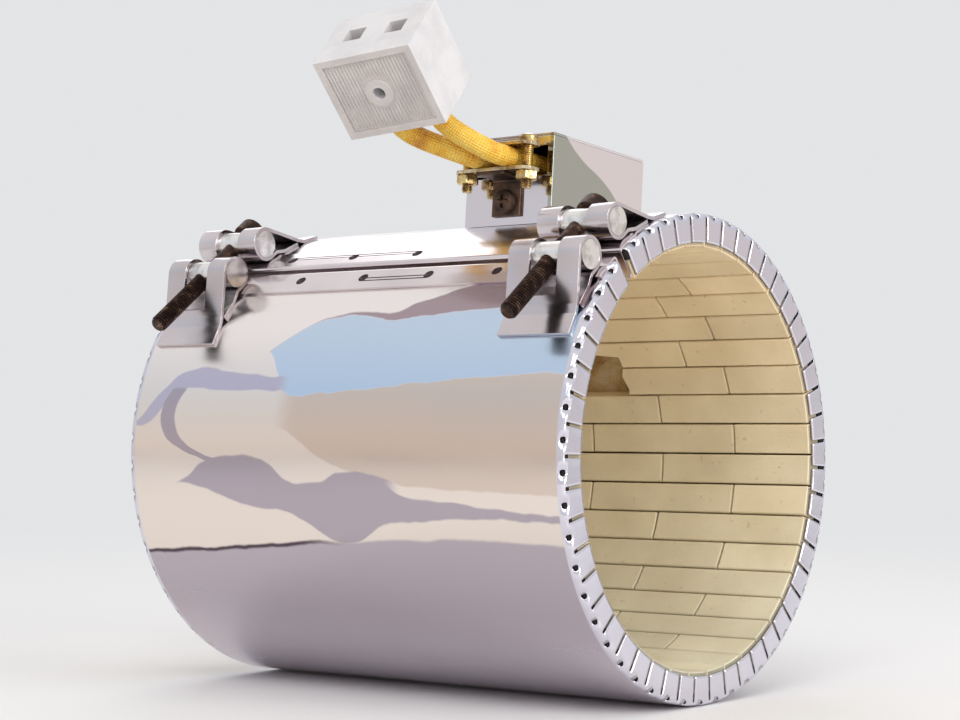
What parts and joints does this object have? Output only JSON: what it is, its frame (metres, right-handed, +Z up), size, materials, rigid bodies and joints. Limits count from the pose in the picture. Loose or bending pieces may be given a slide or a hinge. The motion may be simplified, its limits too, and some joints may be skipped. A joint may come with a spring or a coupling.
{
  "type": "ceramic band heater",
  "caption": "Split ceramic band heater for a round barrel: sheet jacket, tiled bore, screw clamps over the gap, terminal box and a porcelain terminal block on two sleeved leads.",
  "frame": {"origin": "on the bore's axis, half way along its length", "axes": "+X along the bore towards the end that the picture shows open, +Z up, with the terminal box near the top and the gap 37 degrees from the top towards -Y"},
  "size_m": [0.188, 0.1675, 0.2335],
  "materials": {
    "polished_stainless": "mirror-polished stainless sheet",
    "box_stainless": "mirror-polished stainless sheet",
    "strip_stainless": "polished stainless strip",
    "loop_stainless": "stainless strap, satin",
    "bright_steel": "turned bright steel",
    "black_steel": "black oxide",
    "dark_steel": "heat-darkened steel",
    "plated_steel": "plated steel, dulled",
    "brass": "turned brass",
    "ceramic_fibre": "ceramic-fibre blanket, scorched where open",
    "ceramic_tile": "unglazed cream ceramic",
    "porcelain": "white unglazed porcelain",
    "sleeving": "woven glass sleeving, yellow",
    "nickel_wire": "nickel wire"
  },
  "bodies": {
    "heater": {"brass_terminals": "brass", "cord_clamp_foot": "dark_steel", "cord_clamp_lower_plate": "plated_steel", "cord_clamp_nuts": "brass", "cord_clamp_screws": "brass", "cord_clamp_upper_plate": "plated_steel", "far_clamp_loop_left": "loop_stainless", "far_clamp_loop_right": "loop_stainless", "far_gap_strip": "strip_stainless", "foot_screw": "dark_steel", "insulation_blanket": "ceramic_fibre", "jacket": "polished_stainless", "lead_conductors": "nickel_wire", "lead_left": "sleeving", "lead_right": "sleeving", "lid_screw": "bright_steel", "near_clamp_loop_left": "loop_stainless", "near_clamp_loop_right": "loop_stainless", "near_gap_strip": "strip_stainless", "plain_barrel_left": "bright_steel", "plain_barrel_right": "bright_steel", "terminal_block": "porcelain", "terminal_box": "box_stainless", "terminal_box_lid": "box_stainless", "terminal_screws": "brass", "threaded_barrel_left": "bright_steel", "threaded_barrel_right": "bright_steel", "tile_course_01": "ceramic_tile", "tile_course_02": "ceramic_tile", "tile_course_03": "ceramic_tile", "tile_course_04": "ceramic_tile", "tile_course_05": "ceramic_tile", "tile_course_06": "ceramic_tile", "tile_course_07": "ceramic_tile", "tile_course_08": "ceramic_tile", "tile_course_09": "ceramic_tile", "tile_course_10": "ceramic_tile", "tile_course_11": "ceramic_tile", "tile_course_12": "ceramic_tile", "tile_course_13": "ceramic_tile", "tile_course_14": "ceramic_tile", "tile_course_15": "ceramic_tile", "tile_course_16": "ceramic_tile", "tile_course_17": "ceramic_tile", "tile_course_18": "ceramic_tile", "tile_course_19": "ceramic_tile", "tile_course_20": "ceramic_tile"},
    "left_screw": {"clamp_screw_left": "black_steel"},
    "right_screw": {"clamp_screw_right": "black_steel"}
  },
  "joints": [
    {"name": "left_screw_turn", "type": "hinge", "parent": "heater", "child": "left_screw", "pos_m": [-0.076, -0.04126, 0.07852], "axis": [0, 0.7986, 0.6018], "continuous": true},
    {"name": "right_screw_turn", "type": "hinge", "parent": "heater", "child": "right_screw", "pos_m": [0.076, -0.04126, 0.07852], "axis": [0, 0.7986, 0.6018], "continuous": true}
  ]
}
